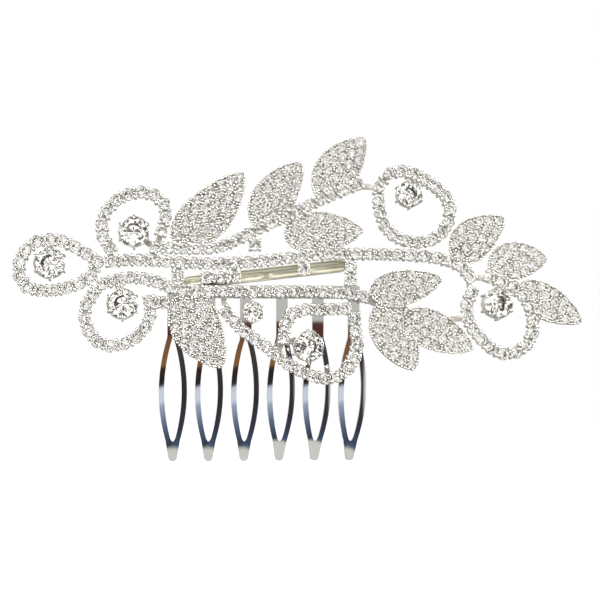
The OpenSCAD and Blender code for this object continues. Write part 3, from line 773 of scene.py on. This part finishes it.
# %% Flow the solder
FLOW_MM = 0.13         # fineness of the solder's surface
DRAWN, DRAWN_TIMES = 0.5, 5
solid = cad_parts["solder_bridges"]
base = bpy.data.objects.new("solder_base", solid.data.copy())
bpy.context.scene.collection.objects.link(base)
remesh = base.modifiers.new("flow", "REMESH")
remesh.mode = "VOXEL"
remesh.voxel_size = FLOW_MM * MM
remesh.use_smooth_shade = True
drawn = base.modifiers.new("draw_round", "SMOOTH")
drawn.factor = DRAWN
drawn.iterations = DRAWN_TIMES
solder = evaluated("flowed_solder", base)
solder.data.materials.clear()
solder.data.materials.append(solder_plate)
keep(solder, "solder", "solder_bridges")
print("solder faces:", len(solder.data.polygons))

# %% [markdown]
# ## The leaves' plates
# The plates under the grains are right as they are and get their plating here. Their fronts between the
# stones are rougher, and their darker grey is painted shade for the gaps between the stones.

# %% Plate the solids
for node in LEAVES:
    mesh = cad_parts[node].data
    mesh.materials.clear()
    mesh.materials.append(cast_plate)
    mesh.materials.append(painted_shade_plate)
    axis = STONES[node.replace("_setting", "_stones")][0][1]
    # Faces that look to the front get the darker metal: painted shade between the stones
    mesh.polygons.foreach_set("material_index", [int(f.normal.dot(axis) > FLAT) for f in mesh.polygons])
print("leaves plated:", len(LEAVES))

# %% [markdown]
# ## The floor
# A plain pale floor lies well below the teeth. It is opal acrylic that is lit from below, so it gives off
# a little light of its own. The metal doesn't mirror it, because the studio has its own light table.

# %% Lay the floor
FLOOR, REACH = -0.06, 1.0      # height of the floor, and how far it goes, in metres
GLOW = 0.12
floor = mesh_object("floor", [(-REACH, FLOOR, FLOOR), (REACH, FLOOR, FLOOR), (REACH, REACH, FLOOR),
                              (-REACH, REACH, FLOOR)], [(0, 1, 2, 3)])
acrylic = bpy.data.materials.new("lit_opal_acrylic")
acrylic.use_nodes = True
shell = acrylic.node_tree.nodes["Principled BSDF"]
shell.inputs["Base Color"].default_value = linear("#f8f8f8")
shell.inputs["Roughness"].default_value = 0.9
shell.inputs["Emission Color"].default_value = (1, 1, 1, 1)
shell.inputs["Emission Strength"].default_value = GLOW
floor.data.materials.append(acrylic)
floor.visible_glossy = False
floor.visible_transmission = False
floor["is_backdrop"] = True
print("floor at", FLOOR / MM, "mm")

# %% [markdown]
# ## The colours of the studio
# Polished metal shows nothing but its surroundings. In front of the comb and below the camera lie the
# light table, its edge and the dark room, drawn as bands by height, apart for left and right. Round
# them hang soft boxes with dark gaps between them. The stones see smaller boxes with a faint tint that
# changes with the direction, as from coloured things in the room.

# %% Colours of the studio
# (height of the direction, colour), from straight down to straight up
LEFT_BANDS = [(-1.0, "#e2e2d6"), (-0.80, "#e2e2d6"), (-0.785, "#34394a"), (-0.68, "#66758a"),
              (-0.575, "#a9b6c8"), (-0.55, "#e4ebf2"), (-0.48, "#dbe3ec"), (-0.465, "#2c2a28"),
              (-0.37, "#342c26"), (-0.355, "#96683f"), (-0.20, "#7f5a3e"), (-0.18, "#5c3630"),
              (-0.095, "#5a3a34"), (-0.088, "#cfcec3"), (1.0, "#cfcec3")]
RIGHT_BANDS = [(-1.0, "#e2e2d6"), (-0.80, "#e2e2d6"), (-0.785, "#4a5a74"), (-0.70, "#3c404a"),
               (-0.5, "#343434"), (-0.3, "#454240"), (-0.2, "#4c4745"), (-0.18, "#603a36"),
               (-0.095, "#5a3632"), (-0.088, "#cfcec3"), (1.0, "#cfcec3")]
# (value of the noise, colour)
CLOUDS = [(0.0, "#2c2826"), (0.40, "#3c3833"), (0.455, "#8d887e"), (0.49, "#f1efe8"), (1.0, "#ffffff")]
SPECKS = [(0.0, "#1e1c1c"), (0.45, "#37332f"), (0.485, "#8f8a80"), (0.515, "#eeede7"), (1.0, "#ffffff")]
TINTS = [(0.0, "#fff4d6"), (0.36, "#fbf7ea"), (0.46, "#ffffff"), (0.55, "#f6faf4"), (0.66, "#f2f0fd"),
         (1.0, "#e4e2f8")]

scene = bpy.context.scene
world = bpy.data.worlds.new("studio")
scene.world = world
world.use_nodes = True
tree = world.node_tree
tree.nodes.clear()
way = add(tree, "ShaderNodeTexCoord").outputs["Generated"]
axes = add(tree, "ShaderNodeSeparateXYZ", {}, {"Vector": way})
height = add(tree, "ShaderNodeMapRange", {}, {"Value": axes.outputs["Z"]})
height.inputs["From Min"].default_value = -1.0
boxes = add(tree, "ShaderNodeTexNoise", {}, {"Vector": way}, Scale=2.6, Detail=2.0)
gaps = add(tree, "ShaderNodeTexNoise", {}, {"Vector": way}, Scale=6.5, Detail=3.0)
hues = add(tree, "ShaderNodeTexNoise", {}, {"Vector": way}, Scale=3.1, Detail=1.0)
ramps = []
for value, stops in ((height.outputs["Result"], LEFT_BANDS), (height.outputs["Result"], RIGHT_BANDS),
                     (boxes.outputs["Fac"], CLOUDS), (gaps.outputs["Fac"], SPECKS),
                     (hues.outputs["Fac"], TINTS)):
    ramp = add(tree, "ShaderNodeValToRGB", {}, {"Fac": value})
    # A ramp runs from 0 to 1 and a height from -1 to 1
    spots = [((v + 1) / 2 if stops[0][0] < 0 else v, linear(colour)) for v, colour in stops]
    ends = ramp.color_ramp.elements
    ends[0].position, ends[0].color = spots[0]
    ends[1].position, ends[1].color = spots[-1]
    for place, colour in spots[1:-1]:
        ends.new(place).color = colour
    ramps.append(ramp.outputs["Color"])
left, right, clouds, specks, tints = ramps
print("ramps:", len(ramps))

# %% [markdown]
# ## One world for three kinds of light
# The bands reach only so far to the sides and upwards, and the soft boxes take over there. What a ray
# meets depends on what it is: the metal's reflections meet the studio, light inside a stone meets the
# small bright boxes, and the camera and the matt surfaces meet plain white.

# %% Join the studio
MIDDLE_BLUR = 0.06             # half the width over which left goes over into right
BANDS_WIDE = (0.40, 0.50)      # where the bands end to the sides
BANDS_HIGH = (0.12, 0.2)       # and upwards
STONE_GAIN = 0.8               # how much brighter than white the boxes are that a stone sees
WHITE = (1, 1, 1, 1)
sideways = add(tree, "ShaderNodeMath", {"operation": "ABSOLUTE"}, {0: axes.outputs["X"]})
faded = []
for value, (start, end) in ((axes.outputs["X"], (-MIDDLE_BLUR, MIDDLE_BLUR)),
                            (sideways.outputs[0], BANDS_WIDE), (axes.outputs["Z"], BANDS_HIGH)):
    fade = add(tree, "ShaderNodeMapRange", {"interpolation_type": "SMOOTHSTEP"}, {"Value": value})
    fade.inputs["From Min"].default_value = start
    fade.inputs["From Max"].default_value = end
    faded.append(fade.outputs["Result"])
to_right, beside, above = faded
room = add(tree, "ShaderNodeMix", {"data_type": "RGBA"}, {"Factor": to_right, "A": left, "B": right})
outside = add(tree, "ShaderNodeMath", {"operation": "MAXIMUM"}, {0: beside, 1: above})
around = add(tree, "ShaderNodeMix", {"data_type": "RGBA"}, {
    "Factor": outside.outputs[0], "A": room.outputs["Result"], "B": clouds})
pale = add(tree, "ShaderNodeMix", {"data_type": "RGBA", "blend_type": "MULTIPLY"},
           {"A": specks, "B": tints}, Factor=1.0)
sight = add(tree, "ShaderNodeLightPath")
in_stone = add(tree, "ShaderNodeMix", {"data_type": "RGBA"}, {
    "Factor": sight.outputs["Is Transmission Ray"], "A": around.outputs["Result"],
    "B": pale.outputs["Result"]})
in_diffuse = add(tree, "ShaderNodeMix", {"data_type": "RGBA"}, {
    "Factor": sight.outputs["Is Diffuse Ray"], "A": in_stone.outputs["Result"]})
in_diffuse.inputs["B"].default_value = WHITE
to_eye = add(tree, "ShaderNodeMix", {"data_type": "RGBA"}, {
    "Factor": sight.outputs["Is Camera Ray"], "A": in_diffuse.outputs["Result"]})
to_eye.inputs["B"].default_value = WHITE
bright = add(tree, "ShaderNodeMath", {"operation": "MULTIPLY_ADD"},
             {0: sight.outputs["Is Transmission Ray"]})
bright.inputs[1].default_value = STONE_GAIN
bright.inputs[2].default_value = 1.0
back = add(tree, "ShaderNodeBackground", {}, {
    "Color": to_eye.outputs["Result"], "Strength": bright.outputs[0]})
add(tree, "ShaderNodeOutputWorld", {}, {"Surface": back.outputs["Background"]})
print("world nodes:", len(tree.nodes))

# %% [markdown]
# ## Two soft lights
# The key light stands high on the left and the fill light low on the right, at half its power. Both are
# large discs close by, so shadows and glints have soft edges.

# %% Set the lights
def soft_light(name, place, target, size, power):
    lamp = bpy.data.lights.new(name, "AREA")
    lamp.shape = "DISK"
    lamp.size = size
    lamp.energy = power
    made = bpy.data.objects.new(name, lamp)
    made.location = place
    made.rotation_euler = (Vector(target) - Vector(place)).to_track_quat("-Z", "Y").to_euler()
    scene.collection.objects.link(made)


middle = (cad_low + cad_high) / 2
soft_light("key", (-0.35, -0.45, 0.45), middle, 0.25, 6)
soft_light("fill", (0.5, -0.35, 0.15), middle, 0.2, 3)

# %% [markdown]
# ## The camera
# It looks at the spray from a few degrees left of straight ahead and a few degrees below. Its distance
# is set first, as that settles the perspective, and the focal length follows from the width of the view.

# %% Camera
AZIMUTH, ELEVATION, DISTANCE = -5.0, -3.0, 0.29
FIELD = 0.1218        # width of what the camera takes in at the spray, in metres
SENSOR = 36           # mm
aim = Vector((0.0073, 0, -0.0003))
a, e = math.radians(AZIMUTH), math.radians(ELEVATION)
back_to = Vector((math.sin(a) * math.cos(e), -math.cos(a) * math.cos(e), math.sin(e)))
view = bpy.data.cameras.new("camera")
view.sensor_width = SENSOR
view.lens = SENSOR * DISTANCE / FIELD
view.clip_start, view.clip_end = 0.01, 10
camera = bpy.data.objects.new("camera", view)
camera.location = aim + back_to * DISTANCE
camera.rotation_euler = (-back_to).to_track_quat("-Z", "Y").to_euler()
scene.collection.objects.link(camera)
scene.camera = camera
scene.view_settings.view_transform = "Standard"
print("focal length:", round(view.lens, 1), "mm")

# %% [markdown]
# ## Measure and finish
# The finer pieces must not outgrow the solid model, so both boxes are measured and written down.

# %% Measure and finish
low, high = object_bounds()
past = list(cad_low - low) + list(high - cad_high)
print("past the solid model:", [round(v / MM, 2) for v in past], "mm")
